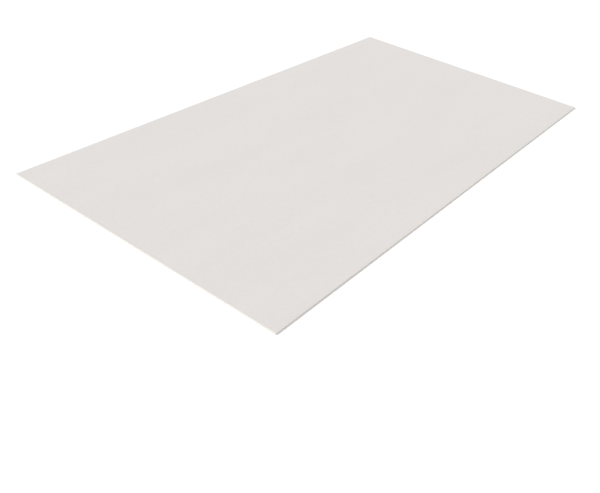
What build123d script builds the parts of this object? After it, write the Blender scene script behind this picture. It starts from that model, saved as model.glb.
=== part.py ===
from build123d import *
import os

# A fibre cement board is one flat sheet, pressed and cured in one piece and trimmed square on all four sides.
# The origin is the middle of the underside, the length runs along X, the width along Y, and the smooth face is up.

# Trade size of the sheet, in millimetres
board_length = 2400.0
board_width = 1200.0
board_thickness = 6.0

# The trimmed sides are sanded off at 45 degrees where they meet the two faces
arris = 0.4

# The four upright corners are rubbed a little round, so that they don't crumble
corner_radius = 1.0

with BuildPart() as fibre_cement_board:
    with BuildSketch():
        RectangleRounded(board_length, board_width, corner_radius)
    extrude(amount=board_thickness)
    rims = fibre_cement_board.faces().filter_by(Axis.Z).edges()
    chamfer(rims, arris)

fibre_cement_board.part.label = "fibre_cement_board"

os.makedirs("parts", exist_ok=True)
export_step(fibre_cement_board.part, "parts/fibre_cement_board.step")
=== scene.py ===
"""The looks of a fibre cement board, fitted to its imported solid. Lengths are in metres, angles in degrees.

The board lies on a white floor with its smooth face up. Its sides show how it was made: thin wet films were
rolled up to its thickness, pressed, cured and sawn. Face, sides and back each have a finish of their own."""

import math
import bpy
import numpy as np
from mathutils import Matrix, Vector


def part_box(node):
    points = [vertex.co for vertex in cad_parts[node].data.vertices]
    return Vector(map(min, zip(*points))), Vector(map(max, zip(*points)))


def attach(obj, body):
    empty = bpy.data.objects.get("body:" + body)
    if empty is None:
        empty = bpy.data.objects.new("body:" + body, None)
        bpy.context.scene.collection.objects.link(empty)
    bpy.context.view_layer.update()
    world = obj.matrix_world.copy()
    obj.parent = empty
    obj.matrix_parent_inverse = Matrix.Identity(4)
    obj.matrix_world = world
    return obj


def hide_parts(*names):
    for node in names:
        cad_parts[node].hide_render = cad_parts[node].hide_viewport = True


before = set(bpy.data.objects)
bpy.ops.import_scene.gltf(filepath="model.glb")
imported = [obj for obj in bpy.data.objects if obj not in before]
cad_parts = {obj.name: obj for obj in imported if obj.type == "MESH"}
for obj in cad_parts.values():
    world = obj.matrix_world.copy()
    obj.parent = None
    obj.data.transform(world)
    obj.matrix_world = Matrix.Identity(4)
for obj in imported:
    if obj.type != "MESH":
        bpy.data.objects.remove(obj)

mm = 0.001

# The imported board
board_node = "fibre_cement_board"
low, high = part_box(board_node)
length, width, thickness = high - low
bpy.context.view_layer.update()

# Its trimmed edges, as the solid has them
corner_radius = 1.0 * mm
arris = 0.4 * mm

# The camera: where it stands, its lens, and how far its middle lies from the picture's, in picture widths
camera_place = (-2.608, -1.499, thickness + 1.438)
camera_azimuth, camera_elevation, camera_roll = -53.43, 33.26, 6.30
camera_lens, camera_sensor = 46.19 * mm, 36 * mm
camera_shift = (0.090, -0.031)

# The films that the sheet is rolled up from, and after how many of them, from the back, a side shows a line
films = 18
film = thickness / films
lines_after = (3, 6, 8, 12, 15)

# The grooves at the lines and the steps of the plies between, with the shortest and longest waves of each
line_depth, line_reach = 0.05 * mm, 0.09 * mm
line_sway, line_waves = 0.06 * mm, (60 * mm, 1500 * mm)
usual_parting, parting_waves = 0.45, (15 * mm, 500 * mm)
ply_step, ply_waves = 0.05 * mm, (30 * mm, 900 * mm)

# Wear of the arrises: how far they wander, and the small dents where they have crumbled, grain by grain
arris_sway, arris_waves = 0.05 * mm, (20 * mm, 400 * mm)
dents_each_arris = 90
dent_half_length = (0.8 * mm, 3.4 * mm)
dent_depth = (0.06 * mm, 0.30 * mm)
dents_to_corner = 4 * dent_half_length[1]
grain = 0.45 * mm

# How finely the sides and faces are divided, and the turn past which an edge shades sharp
station_pitch, station_gap = 5 * mm, 0.1 * mm
corner_steps, dent_steps = 8, 12
face_margin = 25 * mm
face_cells_long, face_cells_wide = 47, 23
sharp_turn = 25

# The bake map, 1 wide and 1 tall: the back, above it three low strips of the side, and the face at the top
map_start, map_across = 0.01, 0.98
back_foot, back_tall = 0.01, 0.40
strip_feet, strip_tall = (0.425, 0.450, 0.475), 0.014
second_short_start = 0.505
face_foot, face_tall = 0.505, 0.485

# Places of the finishes in the board's list of materials
on_face, on_side, on_back = 0, 1, 2

# Colours of the finishes and of the fibres that show in them
face_colour = (0.776, 0.745, 0.723)
side_colour = (0.80, 0.765, 0.715)
back_colour = (0.735, 0.708, 0.684)
dark_fibre_colour = (0.50, 0.43, 0.35)
pale_fibre_colour = (0.86, 0.84, 0.81)

# Light on the face: the shares that the sky, the lamp and the fill give, which add up to just under one
sky_share, lamp_share, fill_share = 0.39, 0.50, 0.10
lamp_azimuth, lamp_elevation, lamp_spread = -125, 38, 14
fill_azimuth, fill_elevation, fill_spread = -10, 25, 40

# The floor: its size, how far it lies below the board, the glow that lifts it to white in the picture, and
# the colour with which it sends light back to the board
floor_size, floor_drop, floor_glow = 40.0, 0.02 * mm, 0.05
floor_colour = (0.8, 0.8, 0.8, 1)
white = (1, 1, 1, 1)


# The outline of the board, walked once round

reach_x, reach_y = length / 2 - corner_radius, width / 2 - corner_radius
quarter = corner_radius * math.pi / 2
marks = np.cumsum([0] + 2 * [2 * reach_x, quarter, 2 * reach_y, quarter])
side_starts, side_ends, perimeter = marks[0:8:2], marks[1:8:2], marks[-1]


def outline(along, inset):
    """Points of a rounded rectangle, counter-clockwise from above, from the start of its low Y side.

    The corner centres make a smaller rectangle. A point is the place on that rectangle, which waits at each
    corner, plus the corner radius less the inset, in an outward direction that turns a quarter meanwhile."""
    centre_x = np.interp(along, marks, reach_x * np.array([-1, 1, 1, 1, 1, -1, -1, -1, -1]))
    centre_y = np.interp(along, marks, reach_y * np.array([-1, -1, -1, 1, 1, 1, 1, -1, -1]))
    heading = np.radians(np.interp(along, marks, [-90, -90, 0, 0, 90, 90, 180, 180, 270]))
    out = corner_radius - inset
    return centre_x + out * np.cos(heading), centre_y + out * np.sin(heading)


def sway(along, waves, seed, count=40):
    """A smooth random swing between -1 and 1 that closes on itself.

    It is a sum of cosines with random phases, each of a whole number of turns round the board, so that its
    waves lie between the shortest and the longest. It is divided by twice its usual spread, and clipped."""
    shortest, longest = waves
    draw = np.random.default_rng(seed)
    turns = draw.integers(round(perimeter / longest), round(perimeter / shortest), count)
    phase = draw.uniform(0, 2 * math.pi, count)
    total = np.cos(2 * math.pi * np.outer(along / perimeter, turns) + phase).sum(1)
    return np.clip(total / math.sqrt(2 * count), -1, 1)


def grit(along, seed):
    """A rough random swing between -1 and 1: a height for each grain, joined by straight lines."""
    every = np.arange(0, perimeter + grain, grain)
    return np.interp(along, every, np.random.default_rng(seed).uniform(-1, 1, len(every)))


def scatter_dents(seed):
    """Middles, half lengths and depths of an arris's dents, at random places clear of the corners."""
    draw = np.random.default_rng(seed)
    middle = draw.uniform(0, perimeter, dents_each_arris)
    half = draw.uniform(*dent_half_length, dents_each_arris)
    depth = draw.uniform(*dent_depth, dents_each_arris)
    clear = np.abs(middle[:, None] - marks).min(1) > dents_to_corner
    return middle[clear], half[clear], depth[clear]


def deepest_dent(along, dents, seed):
    """Depth of the deepest dent at each station: depth times 1 - u², where u runs from -1 to 1 over its
    length, made up to half as deep again or half as shallow by grit."""
    middle, half, depth = dents
    across = (along[:, None] - middle) / half
    return (depth * np.clip(1 - across**2, 0, None)).max(1) * (1 + 0.5 * grit(along, seed))


def stations(*sets_of_dents):
    """Distances along the outline where the side is divided: evenly, more closely round the corners and in
    dents, and never nearer together than the station gap."""
    even = np.arange(0, perimeter, station_pitch)
    corners = side_ends[:, None] + quarter * np.linspace(0, 1, corner_steps + 1)
    in_dents = [middle[:, None] + half[:, None] * np.linspace(-1, 1, dent_steps + 1)
                for middle, half, depth in sets_of_dents]
    every = np.sort(np.concatenate([even, corners.ravel()] + [x.ravel() for x in in_dents]))
    every = every[every < perimeter - station_gap]
    return every[np.diff(every, prepend=-1) > station_gap]


def worn_arris(along, dents, seed):
    """How far an arris reaches across the face and down the side, and the same for its middle.

    It is a 45 degree slope, widened by its sway and its dents, which reach four fifths as far down the side
    as across the face, and hollowed by up to half a dent more."""
    worn = deepest_dent(along, dents, seed + 2)
    across = arris + worn + arris_sway * (1 + sway(along, arris_waves, seed))
    down = arris + 0.8 * worn + arris_sway * (1 + sway(along, arris_waves, seed + 1))
    hollow = 0.25 * worn * (1 + grit(along, seed + 3))
    return across, down, 0.5 * across + hollow, 0.5 * down + hollow


def side_section(along, upper_dents, lower_dents):
    """Inset, height, layer and parting of each row of the side, from the rim of the face down to the back's.

    Between the two arrises each line is a groove of three rows, whose height sways and whose depth comes and
    goes, and each ply between lines stands back a little by itself. The layer counts films from the back and
    follows the grooves. The parting is how far a groove has opened, from 0 to 1."""
    plies = len(lines_after) + 1
    set_back = [ply_step * (1 + sway(along, ply_waves, seed=50 + n)) / 2 for n in range(plies)]
    arris_films, reach_films = arris / film, line_reach / film

    across, down, middle_across, middle_down = worn_arris(along, upper_dents, seed=11)
    rows = [(across, thickness, films, 0),
            (middle_across, thickness - middle_down, films - 0.5 * arris_films, 0),
            (set_back[-1], thickness - down, films - arris_films, 0)]
    for n, line in reversed(list(enumerate(lines_after))):
        above, below = set_back[n + 1], set_back[n]
        height = film * line + line_sway * sway(along, line_waves, seed=70 + n)
        parting = np.clip(usual_parting + sway(along, parting_waves, seed=90 + n), 0, 1)
        rows += [(above, height + line_reach, line + reach_films, 0),
                 (np.maximum(above, below) + line_depth * parting, height, line, parting),
                 (below, height - line_reach, line - reach_films, 0)]
    across, down, middle_across, middle_down = worn_arris(along, lower_dents, seed=31)
    rows += [(set_back[0], down, arris_films, 0),
             (middle_across, middle_down, 0.5 * arris_films, 0),
             (across, 0, 0, 0)]
    return np.array([np.broadcast_arrays(*row) for row in rows]).transpose(1, 0, 2)


# The mesh of the board

def side_cells(rows, columns):
    """The side's cells, facing outwards, between neighbouring rows. The last column meets the first."""
    number = np.arange(rows * columns).reshape(rows, columns)
    after = np.roll(number, -1, 1)
    return np.stack([number[:-1], number[1:], after[1:], after[:-1]], -1).reshape(-1, 4)


def face_grid(height):
    """Points of an even grid over a face, row by row along X, which stops short of the rim by the margin."""
    x = np.linspace(-1, 1, face_cells_long + 1) * (length / 2 - face_margin)
    y = np.linspace(-1, 1, face_cells_wide + 1) * (width / 2 - face_margin)
    grid_y, grid_x = np.meshgrid(y, x, indexing="ij")
    return np.stack([grid_x, grid_y, 0 * grid_x + height], -1).reshape(-1, 3)


def grid_cells(first):
    """The grid's cells, counter-clockwise from above, where first is the number of its first point."""
    points_long, points_wide = face_cells_long + 1, face_cells_wide + 1
    number = first + np.arange(points_wide * points_long).reshape(points_wide, points_long)
    return np.stack([number[:-1, :-1], number[:-1, 1:], number[1:, 1:], number[1:, :-1]], -1).reshape(-1, 4)


def grid_to_rim(along, first_rim, first):
    """Triangles from the rim of a face to the edge of its grid, counter-clockwise from above.

    Each stretch of rim reaches to the nearest point of the grid's edge, and each stretch of that edge to the
    station where the nearest point changes."""
    passed = np.cumsum([0, face_cells_long, face_cells_wide, face_cells_long, face_cells_wide])
    gap = face_margin - corner_radius
    middle = (along + np.append(along[1:], perimeter)) / 2
    ends = np.stack([side_starts + gap, side_ends - gap], 1)
    passed_at_ends = np.stack([passed[:-1], passed[1:]], 1)
    near = np.rint(np.interp(middle, ends.ravel(), passed_at_ends.ravel())).astype(int) % passed[-1]
    x = np.interp(near, passed, [0, face_cells_long, face_cells_long, 0, 0])
    y = np.interp(near, passed, [0, 0, face_cells_wide, face_cells_wide, 0])
    edge = first + (y * (face_cells_long + 1) + x).astype(int)
    here = first_rim + np.arange(len(along))
    after, edge_after = np.roll(here, -1), np.roll(edge, -1)
    from_rim = np.stack([here, after, edge], 1)
    from_edge = np.stack([after, edge_after, edge], 1)
    return np.concatenate([from_rim, from_edge[edge != edge_after]])


def flat_places(points, foot, tall):
    """Where points of the face or back lie on the bake map: across all of it, and from that foot up."""
    across = map_start + map_across * (points[..., 0] / length + 0.5)
    up = foot + tall * (points[..., 1] / width + 0.5)
    return np.stack([across, up], -1).reshape(-1, 2)


def strip_places(along, heights):
    """Where the corners of the side's cells lie on the bake map: on three low strips between the back and
    the face, which hold one long side, the two short sides end to end, and the other long side.

    The first two corners of a cell are at its own station, and the other two at the next one."""
    after = np.append(along[1:], perimeter)
    side = np.searchsorted(side_starts, (along + after) / 2) - 1
    lowest, middle, highest = strip_feet
    start = np.array([map_start, map_start, map_start, second_short_start])[side, None]
    foot = np.array([lowest, middle, highest, middle])[side, None]
    walked = np.stack([along, along, after, after], 1) - side_starts[side, None]
    across = start + map_across * walked / length
    up = foot + strip_tall * heights.reshape(-1, len(along), 4) / thickness
    return np.stack(np.broadcast_arrays(across, up), -1).reshape(-1, 2)


def filled_mesh(name, points, groups, finishes, places, carried):
    """A mesh of groups of cells over those points, with one finish for each group, the places of the cells'
    corners on the bake map, and named values that the points carry."""
    corners = np.concatenate([group.ravel() for group in groups])
    corner_counts = np.concatenate([np.full(len(group), group.shape[1]) for group in groups])
    mesh = bpy.data.meshes.new(name)
    mesh.vertices.add(len(points))
    mesh.vertices.foreach_set("co", points.ravel())
    mesh.loops.add(len(corners))
    mesh.loops.foreach_set("vertex_index", corners)
    mesh.polygons.add(len(corner_counts))
    mesh.polygons.foreach_set("loop_start", np.cumsum(corner_counts) - corner_counts)
    mesh.polygons.foreach_set("material_index", np.repeat(finishes, [len(group) for group in groups]))
    mesh.update(calc_edges=True)
    mesh.shade_smooth()
    mesh.set_sharp_from_angle(angle=math.radians(sharp_turn))
    for value_name, values in carried.items():
        mesh.attributes.new(value_name, "FLOAT", "POINT").data.foreach_set("value", values)
    mesh.uv_layers.new(name="OFBake").uv.foreach_set("vector", np.concatenate(places).ravel())
    if mesh.validate():
        raise ValueError(f"the mesh {name} has faults")
    return mesh


def board_mesh():
    """The whole skin of the board as one closed mesh: the side section carried round the outline, and a face
    and a back that join it to even grids."""
    upper_dents, lower_dents = scatter_dents(seed=5), scatter_dents(seed=6)
    along = stations(upper_dents, lower_dents)
    inset, height, layer, parting = side_section(along, upper_dents, lower_dents)
    x, y = outline(along, inset)
    side_points = np.stack([x, y, height], -1).reshape(-1, 3)
    face_points, back_points = face_grid(thickness), face_grid(0.0)
    points = np.concatenate([side_points, face_points, back_points])
    first_face = len(side_points)
    first_back = first_face + len(face_points)
    back_rim = first_face - len(along)

    side = side_cells(*inset.shape)
    face = [grid_cells(first_face), grid_to_rim(along, 0, first_face)]
    back = [grid_cells(first_back)[:, ::-1], grid_to_rim(along, back_rim, first_back)[:, ::-1]]
    finishes = [on_side, on_face, on_face, on_back, on_back]
    places = [strip_places(along, points[side, 2])]
    places += [flat_places(points[group], face_foot, face_tall) for group in face]
    places += [flat_places(points[group], back_foot, back_tall) for group in back]
    off_side = (0, len(face_points) + len(back_points))
    carried = {"layer": np.pad(layer.ravel(), off_side), "parting": np.pad(parting.ravel(), off_side)}
    return filled_mesh("sanded_board", points, [side, *face, *back], finishes, places, carried)


# Shader trees

class Shade:
    """An output socket of a shader tree. Arithmetic with other shades and with numbers adds Math nodes, and
    a name in brackets gives another output of the same node."""

    def __init__(self, tree, socket):
        self.tree = tree
        self.socket = socket

    def __getitem__(self, name):
        return Shade(self.tree, self.socket.node.outputs[name])

    def maths(self, operation, *values):
        return self.tree.node("ShaderNodeMath", {"operation": operation}, dict(enumerate(values)))

    def __add__(self, other):
        return self.maths("ADD", self, other)

    def __radd__(self, other):
        return self.maths("ADD", other, self)

    def __sub__(self, other):
        return self.maths("SUBTRACT", self, other)

    def __rsub__(self, other):
        return self.maths("SUBTRACT", other, self)

    def __mul__(self, other):
        return self.maths("MULTIPLY", self, other)

    def __rmul__(self, other):
        return self.maths("MULTIPLY", other, self)

    def __abs__(self):
        return self.maths("ABSOLUTE", self)

    def least(self, other):
        return self.maths("MINIMUM", self, other)

    def sine(self):
        return self.maths("SINE", self)

    def fade(self, full, none):
        """1 up to full, 0 from none on, and a smooth fall between them."""
        settings = {"interpolation_type": "SMOOTHSTEP"}
        sockets = {"Value": self, "From Min": full, "From Max": none, "To Min": 1.0, "To Max": 0.0}
        return self.tree.node("ShaderNodeMapRange", settings, sockets)


class Tree:
    """The emptied shader tree of a material or of the world, which one method fills with nodes."""

    def __init__(self, owner):
        owner.use_nodes = True
        self.owner = owner
        self.tree = owner.node_tree
        self.tree.nodes.clear()

    def node(self, kind, settings=None, sockets=None, output=0):
        """Adds a node of that kind, with its settings first and then the values or links of its sockets, and
        returns one of its outputs."""
        made = self.tree.nodes.new(kind)
        for name, value in (settings or {}).items():
            setattr(made, name, value)
        for name, value in (sockets or {}).items():
            if isinstance(value, Shade):
                self.tree.links.new(value.socket, made.inputs[name])
            else:
                made.inputs[name].default_value = value
        return Shade(self, made.outputs[output]) if made.outputs else None

    def vector(self, operation, *values):
        return self.node("ShaderNodeVectorMath", {"operation": operation}, dict(enumerate(values)))

    def scaled(self, vector, by):
        """The vector or colour times a number."""
        return self.node("ShaderNodeVectorMath", {"operation": "SCALE"}, {0: vector, "Scale": by})

    def mixed(self, share, under, over):
        """The shade under, with that share of the plain colour over. A colour mix takes its two colours at
        sockets 6 and 7, and gives the result at output 2."""
        sockets = {0: share, 6: under, 7: (*over, 1)}
        return self.node("ShaderNodeMix", {"data_type": "RGBA"}, sockets, output=2)

    def place(self):
        """Where a point lies on the board, in metres."""
        return self.node("ShaderNodeTexCoord", output="Object")

    def parts(self, vector):
        """The X, Y and Z of a vector."""
        return self.node("ShaderNodeSeparateXYZ", {}, {0: vector})

    def attribute(self, name):
        """A value that the mesh carries."""
        return self.node("ShaderNodeAttribute", {"attribute_name": name}, output="Fac")

    def stretched(self, place, size, seed):
        """The place in lumps of that size, a number or one for each axis, moved away by the seed."""
        sizes = size if isinstance(size, tuple) else (size, size, size)
        away = (37.1 * seed, 17.3 * seed, 7.9 * seed)
        sockets = {"Vector": place, "Location": away, "Scale": [1 / each for each in sizes]}
        return self.node("ShaderNodeMapping", {}, sockets)

    def noise(self, place, size, seed, detail=1.0):
        """A smooth random swing between about -1 and 1, in lumps of that size."""
        sockets = {"Vector": self.stretched(place, size, seed), "Scale": 1.0, "Detail": detail}
        return 4 * (self.node("ShaderNodeTexNoise", {}, sockets) - 0.5)

    def ruffled(self, place, size, reach, seed):
        """The place moved by about that reach in swings of that size, so that lines drawn there waver."""
        sockets = {"Vector": self.stretched(place, size, seed), "Scale": 1.0, "Detail": 1.0}
        swings = self.node("ShaderNodeTexNoise", {}, sockets, output="Color")
        level = self.vector("SUBTRACT", swings, (0.5, 0.5, 0.5))
        return self.vector("ADD", place, self.scaled(level, 4 * reach))

    def cells(self, place, size, seed):
        """Scattered points, one in each cell of that size in the plane of the face: the place in cell sizes,
        and the nearest point, with its Distance, its Position and a random Color."""
        where = self.vector("MULTIPLY", self.stretched(place, size, seed), (1, 1, 0))
        sockets = {"Vector": where, "Scale": 1.0}
        return where, self.node("ShaderNodeTexVoronoi", {"voronoi_dimensions": "2D"}, sockets)

    def chances(self, nearest):
        """The three random numbers of a cell's point: Red, Green and Blue."""
        return self.node("ShaderNodeSeparateColor", {}, {0: nearest["Color"]})

    def pinholes(self, place, size, radius, seed):
        """1 in the small open pores, of which about half the cells have one."""
        where, nearest = self.cells(place, size, seed)
        chance = self.chances(nearest)
        soft = 0.3 * radius / size
        edge = (radius / size) * (0.5 + chance["Green"])
        return (nearest - edge).fade(-soft, soft) * chance["Red"].fade(0.48, 0.52)

    def fibres(self, place, size, half_length, half_width, seed):
        """1 on short, slightly bent fibres, one in each cell, each turned its own way and of its own length.
        A fibre is the curve y = b x², where b is its own random bend."""
        where, nearest = self.cells(place, size, seed)
        chance = self.chances(nearest)
        from_middle = self.vector("SUBTRACT", where, nearest["Position"])
        sockets = {"Vector": from_middle, "Angle": 2 * math.pi * chance["Red"]}
        turned = self.parts(self.node("ShaderNodeVectorRotate", {"rotation_type": "Z_AXIS"}, sockets))
        half_length, half_width = half_length / size, half_width / size
        bent = (chance["Green"] - 0.5) * turned["X"] * turned["X"] * (1 / half_length)
        reach = half_length * (0.4 + 0.6 * chance["Blue"])
        ends = (abs(turned["X"]) - reach).fade(-0.2 * half_length, 0.0)
        return ends * abs(turned["Y"] - bent).fade(0.5 * half_width, half_width)

    def finish(self, colour, roughness, relief):
        """Gives the material a matt mineral surface, whose relief is a height in millimetres."""
        bump = self.node("ShaderNodeBump", {}, {"Strength": 1.0, "Distance": mm, "Height": relief})
        sockets = {"Base Color": colour, "Roughness": roughness, "Normal": bump, "Specular IOR Level": 0.25}
        surface = self.node("ShaderNodeBsdfPrincipled", {}, sockets)
        self.node("ShaderNodeOutputMaterial", {}, {"Surface": surface})
        return self.owner


# The finishes of the board

def smooth_face():
    """The sanded face: pale warm grey, clouded very faintly along its length, with fine specks of cement,
    the sanding belt's lines, a few pores with painted shade in them, fine short fibres, and a rim that
    handling has rubbed paler."""
    tree = Tree(bpy.data.materials.new("smooth_face"))
    place = tree.place()
    part = tree.parts(place)
    cloud = tree.noise(place, (700 * mm, 150 * mm, mm), seed=1, detail=3.0)
    mottle = tree.noise(place, 14 * mm, seed=2, detail=3.0)
    speck = tree.noise(place, 1.2 * mm, seed=3, detail=3.0)
    belt = tree.noise(place, (160 * mm, 0.8 * mm, mm), seed=4, detail=2.0)
    wavering = tree.ruffled(place, 0.9 * mm, reach=0.12 * mm, seed=8)
    pores = tree.pinholes(wavering, 9 * mm, radius=0.14 * mm, seed=5)
    dark_fibre = tree.fibres(wavering, 6 * mm, half_length=1.9 * mm, half_width=0.045 * mm, seed=6)
    pale_fibre = tree.fibres(wavering, 4 * mm, half_length=1.4 * mm, half_width=0.055 * mm, seed=7)
    from_rim = (length / 2 - abs(part["X"])).least(width / 2 - abs(part["Y"]))
    rubbed = (from_rim + 0.8 * mm * mottle).fade(0.5 * mm, 4 * mm)
    # Painted shade: the tone is darkened inside the pores, which are small holes in the face.
    tone = 1 + 0.012 * cloud + 0.015 * mottle + 0.022 * speck + 0.012 * belt + 0.02 * rubbed - 0.30 * pores
    colour = tree.scaled(face_colour, tone)
    colour = tree.mixed(0.25 * dark_fibre, colour, dark_fibre_colour)
    colour = tree.mixed(0.35 * pale_fibre, colour, pale_fibre_colour)
    relief = 0.005 * belt + 0.008 * speck + 0.008 * (dark_fibre + pale_fibre) - 0.08 * pores
    return tree.finish(colour, 0.82 + 0.03 * mottle + 0.03 * speck, relief)


def trimmed_side():
    """The sawn side: paler and chalkier than the face, in thin bedded films of slightly different tone, with
    painted shade in the grooves where they part, the saw's upright scratches, dust, small pits with painted
    shade in them, and arrises rubbed pale."""
    tree = Tree(bpy.data.materials.new("trimmed_side"))
    place = tree.place()
    part = tree.parts(place)
    layer = tree.attribute("layer")
    bedded = tree.node("ShaderNodeCombineXYZ", {}, {0: part["X"], 1: part["Y"], 2: layer * film})
    broad = tree.noise(place, (90 * mm, 90 * mm, 3 * mm), seed=21, detail=2.0)
    bedding = tree.noise(bedded, (45 * mm, 45 * mm, 1.3 * film), seed=24, detail=2.0)
    streak = tree.noise(bedded, (5 * mm, 5 * mm, 0.5 * film), seed=25, detail=2.0)
    scratch = tree.noise(place, (0.8 * mm, 0.8 * mm, 14 * mm), seed=22, detail=2.0)
    dust = tree.noise(place, 0.5 * mm, seed=23, detail=3.0)
    pits = 1 - tree.noise(bedded, (0.9 * mm, 0.9 * mm, film), seed=26).fade(0.8, 1.1)
    rubbed = 1 - layer.fade(films - 1.6, films - 1.0) * (1 - layer.fade(1.0, 1.6))
    tone = 1 + 0.012 * broad + 0.035 * bedding + 0.022 * streak + 0.022 * scratch + 0.03 * dust
    # Painted shade: the tone is darkened in each groove as far as it has opened, and in the pits.
    tone = tone + 0.02 * rubbed - 0.14 * tree.attribute("parting") - 0.08 * pits
    relief = 0.020 * bedding + 0.014 * streak + 0.018 * scratch + 0.022 * dust - 0.05 * pits
    return tree.finish(tree.scaled(side_colour, tone), 0.88 + 0.03 * dust, relief)


def felt_back():
    """The unsanded back, a little greyer, with the small dimples that a woven felt pressed into it."""
    tree = Tree(bpy.data.materials.new("felt_back"))
    place = tree.place()
    part = tree.parts(place)
    drift = tree.noise(place, 30 * mm, seed=41, detail=2.0)
    warp = (part["X"] * (2 * math.pi / (1.9 * mm)) + 1.5 * drift).sine()
    weft = (part["Y"] * (2 * math.pi / (1.4 * mm)) - 1.2 * drift).sine()
    weave = warp * weft
    mottle = tree.noise(place, 16 * mm, seed=42, detail=3.0)
    speck = tree.noise(place, 1.3 * mm, seed=43, detail=2.0)
    wavering = tree.ruffled(place, 0.9 * mm, reach=0.12 * mm, seed=45)
    fibre = tree.fibres(wavering, 7 * mm, half_length=2.2 * mm, half_width=0.05 * mm, seed=44)
    tone = 1 + 0.02 * weave + 0.012 * mottle + 0.03 * speck
    colour = tree.mixed(0.3 * fibre, tree.scaled(back_colour, tone), dark_fibre_colour)
    return tree.finish(colour, 0.9 + 0.03 * speck, 0.05 * weave + 0.015 * speck + 0.01 * mottle)


# The board, the floor, the light and the camera

def added(name, data):
    """A new object of the scene, made of that mesh, light or camera."""
    thing = bpy.data.objects.new(name, data)
    bpy.context.scene.collection.objects.link(thing)
    return thing


def sanded_board():
    """The board that shows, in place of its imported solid."""
    mesh = board_mesh()
    for finish in (smooth_face, trimmed_side, felt_back):
        mesh.materials.append(finish())
    piece = added("sanded_board", mesh)
    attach(piece, "root")
    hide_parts(board_node)


def direction(azimuth, elevation):
    """The way towards a thing at that azimuth and elevation. Azimuth 0 is towards -Y, and 90 towards +X."""
    turn, rise = math.radians(azimuth), math.radians(elevation)
    return Vector((math.sin(turn) * math.cos(rise), -math.cos(turn) * math.cos(rise), math.sin(rise)))


def seen_directly(tree):
    """1 for the camera's own rays and those that glossy or clear surfaces pass on, and 0 for the light."""
    rays = tree.node("ShaderNodeLightPath", output="Is Camera Ray")
    return (rays + rays["Is Glossy Ray"] + rays["Is Transmission Ray"]).least(1.0)


def white_floor():
    """A level floor that looks white, keeps the board's shadow and sends light back as a pale floor does."""
    square = np.array([[-1, -1, 0], [1, -1, 0], [1, 1, 0], [-1, 1, 0]])
    corners = floor_size / 2 * square - [0, 0, floor_drop]
    mesh = bpy.data.meshes.new("floor")
    mesh.from_pydata(corners.tolist(), [], [(0, 1, 2, 3)])
    tree = Tree(bpy.data.materials.new("white_floor"))
    sent_back = tree.node("ShaderNodeBsdfDiffuse", {}, {"Color": floor_colour})
    lit = tree.node("ShaderNodeBsdfDiffuse", {}, {"Color": white})
    glow = tree.node("ShaderNodeEmission", {}, {"Color": white, "Strength": floor_glow})
    shown = tree.node("ShaderNodeAddShader", {}, {0: lit, 1: glow})
    surface = tree.node("ShaderNodeMixShader", {}, {0: seen_directly(tree), 1: sent_back, 2: shown})
    tree.node("ShaderNodeOutputMaterial", {}, {"Surface": surface})
    mesh.materials.append(tree.owner)
    floor = added("floor", mesh)


def white_sky():
    """An even sky that looks white and gives its share of the light."""
    world = bpy.data.worlds.new("white_sky")
    bpy.context.scene.world = world
    tree = Tree(world)
    lighting = tree.node("ShaderNodeBackground", {}, {"Color": white, "Strength": sky_share})
    shown = tree.node("ShaderNodeBackground", {}, {"Color": white, "Strength": 1.0})
    surface = tree.node("ShaderNodeMixShader", {}, {0: seen_directly(tree), 1: lighting, 2: shown})
    tree.node("ShaderNodeOutputWorld", {}, {"Surface": surface})


def soft_lamp(name, azimuth, elevation, spread, share):
    """A far, wide lamp that gives the face its share of the light."""
    light = bpy.data.lights.new(name, "SUN")
    light.angle = math.radians(spread)
    light.energy = share * math.pi / math.sin(math.radians(elevation))
    lamp = added(name, light)
    lamp.rotation_euler = direction(azimuth, elevation).to_track_quat("Z", "Y").to_euler()


def photo_camera():
    """The camera that looks down on the board from beyond its near corner, rolled as in the photo."""
    camera = bpy.data.cameras.new("camera")
    camera.sensor_width = camera_sensor / mm
    camera.lens = camera_lens / mm
    camera.shift_x, camera.shift_y = camera_shift
    back = direction(camera_azimuth, camera_elevation)
    right = Vector((0, 0, 1)).cross(back).normalized()
    turn = Matrix((right, back.cross(right), back)).transposed()
    rolled = turn @ Matrix.Rotation(math.radians(camera_roll), 3, "Z")
    shot = added("camera", camera)
    shot.matrix_world = Matrix.Translation(camera_place) @ rolled.to_4x4()
    bpy.context.scene.camera = shot


photo_camera()
sanded_board()
white_floor()
white_sky()
soft_lamp("lamp", lamp_azimuth, lamp_elevation, lamp_spread, lamp_share)
soft_lamp("fill", fill_azimuth, fill_elevation, fill_spread, fill_share)
bpy.context.scene.view_settings.view_transform = "Standard"
